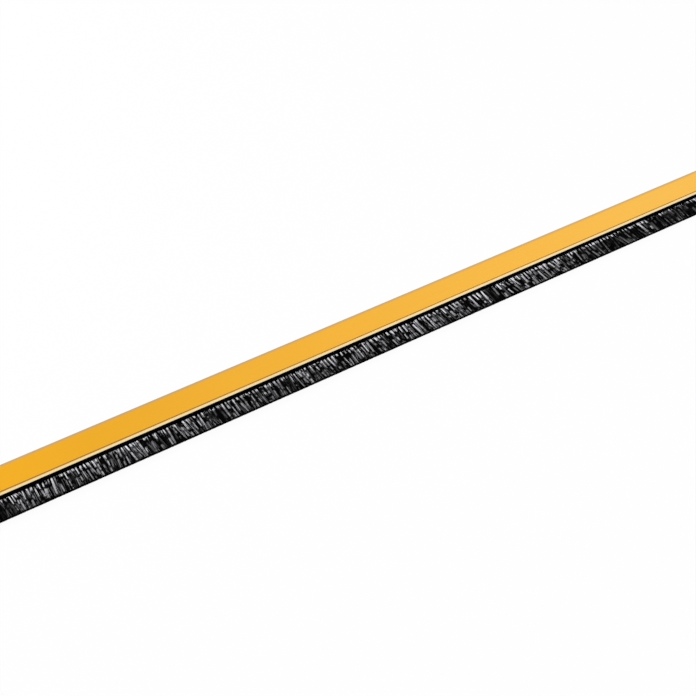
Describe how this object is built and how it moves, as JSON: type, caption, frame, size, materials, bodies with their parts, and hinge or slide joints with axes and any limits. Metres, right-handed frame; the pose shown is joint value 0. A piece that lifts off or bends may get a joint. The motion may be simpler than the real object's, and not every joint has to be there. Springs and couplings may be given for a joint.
{
  "type": "door seal strip",
  "caption": "Straight brush seal strip for a door edge: a flat gold aluminium carrier holding a black bristle brush along one side.",
  "frame": {"origin": "on the floor below the middle of the strip, which is also the middle of the flat back of the brush channel", "axes": "+X along the strip, -Y the way the bristles point, +Z out of the plain face"},
  "size_m": [0.914, 0.045, 0.007],
  "materials": {
    "gold_aluminium": "satin gold anodised",
    "black_plastic": "matt black",
    "black_bristle": "glossy black filament"
  },
  "bodies": {
    "root": {"carrier": "gold_aluminium", "brush_backing": "black_plastic", "bristles": "black_bristle"}
  },
  "joints": []
}
